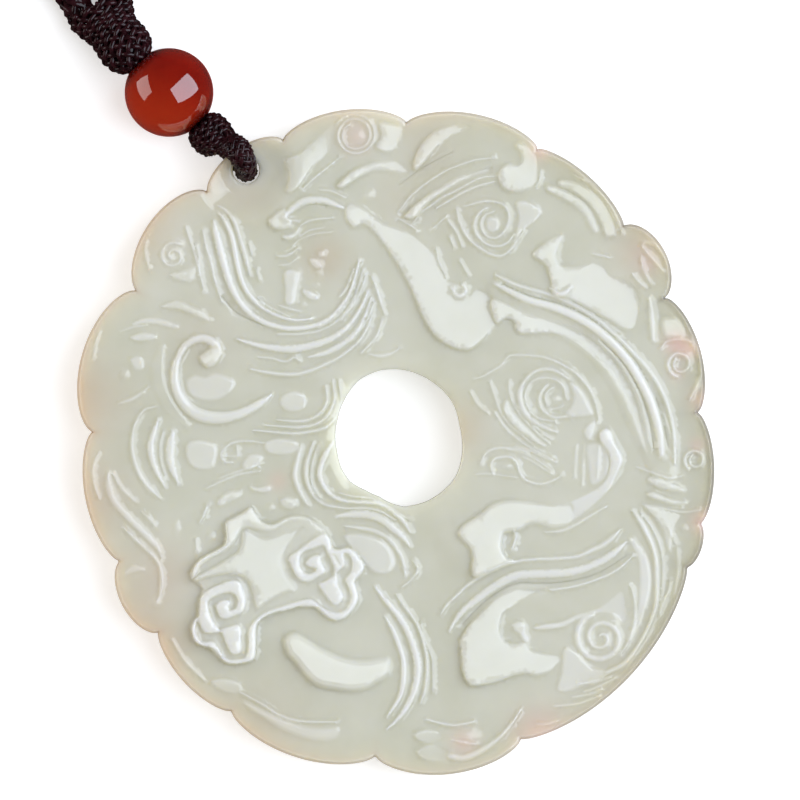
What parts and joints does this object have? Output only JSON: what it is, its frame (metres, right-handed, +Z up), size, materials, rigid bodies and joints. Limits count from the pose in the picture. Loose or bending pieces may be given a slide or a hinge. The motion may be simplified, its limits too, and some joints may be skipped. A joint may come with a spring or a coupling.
{
  "type": "carved jade disc pendant on a braided neck cord",
  "caption": "Round pierced jade pendant with scalloped rim and carved beast relief, hung by a small knotted hanger and a round red bead on a braided neck cord loop.",
  "frame": {"origin": "on the axis of the stone's middle hole, at the flat back", "axes": "+Z up out of the carved face, +Y from the middle hole to the cord hole in the rim, +X to the right seen from the carved side"},
  "size_m": [0.1749, 0.3045, 0.0081],
  "materials": {
    "jade": "polished",
    "agate": "polished",
    "cord": "braided"
  },
  "bodies": {
    "root": {"jade_disc": "jade", "rim_loop": "cord", "lower_knots": "cord", "bead_thread": "cord", "agate_bead": "agate", "upper_knot": "cord", "neck_cord_left": "cord", "neck_cord_right": "cord", "closing_knot": "cord"}
  },
  "joints": []
}
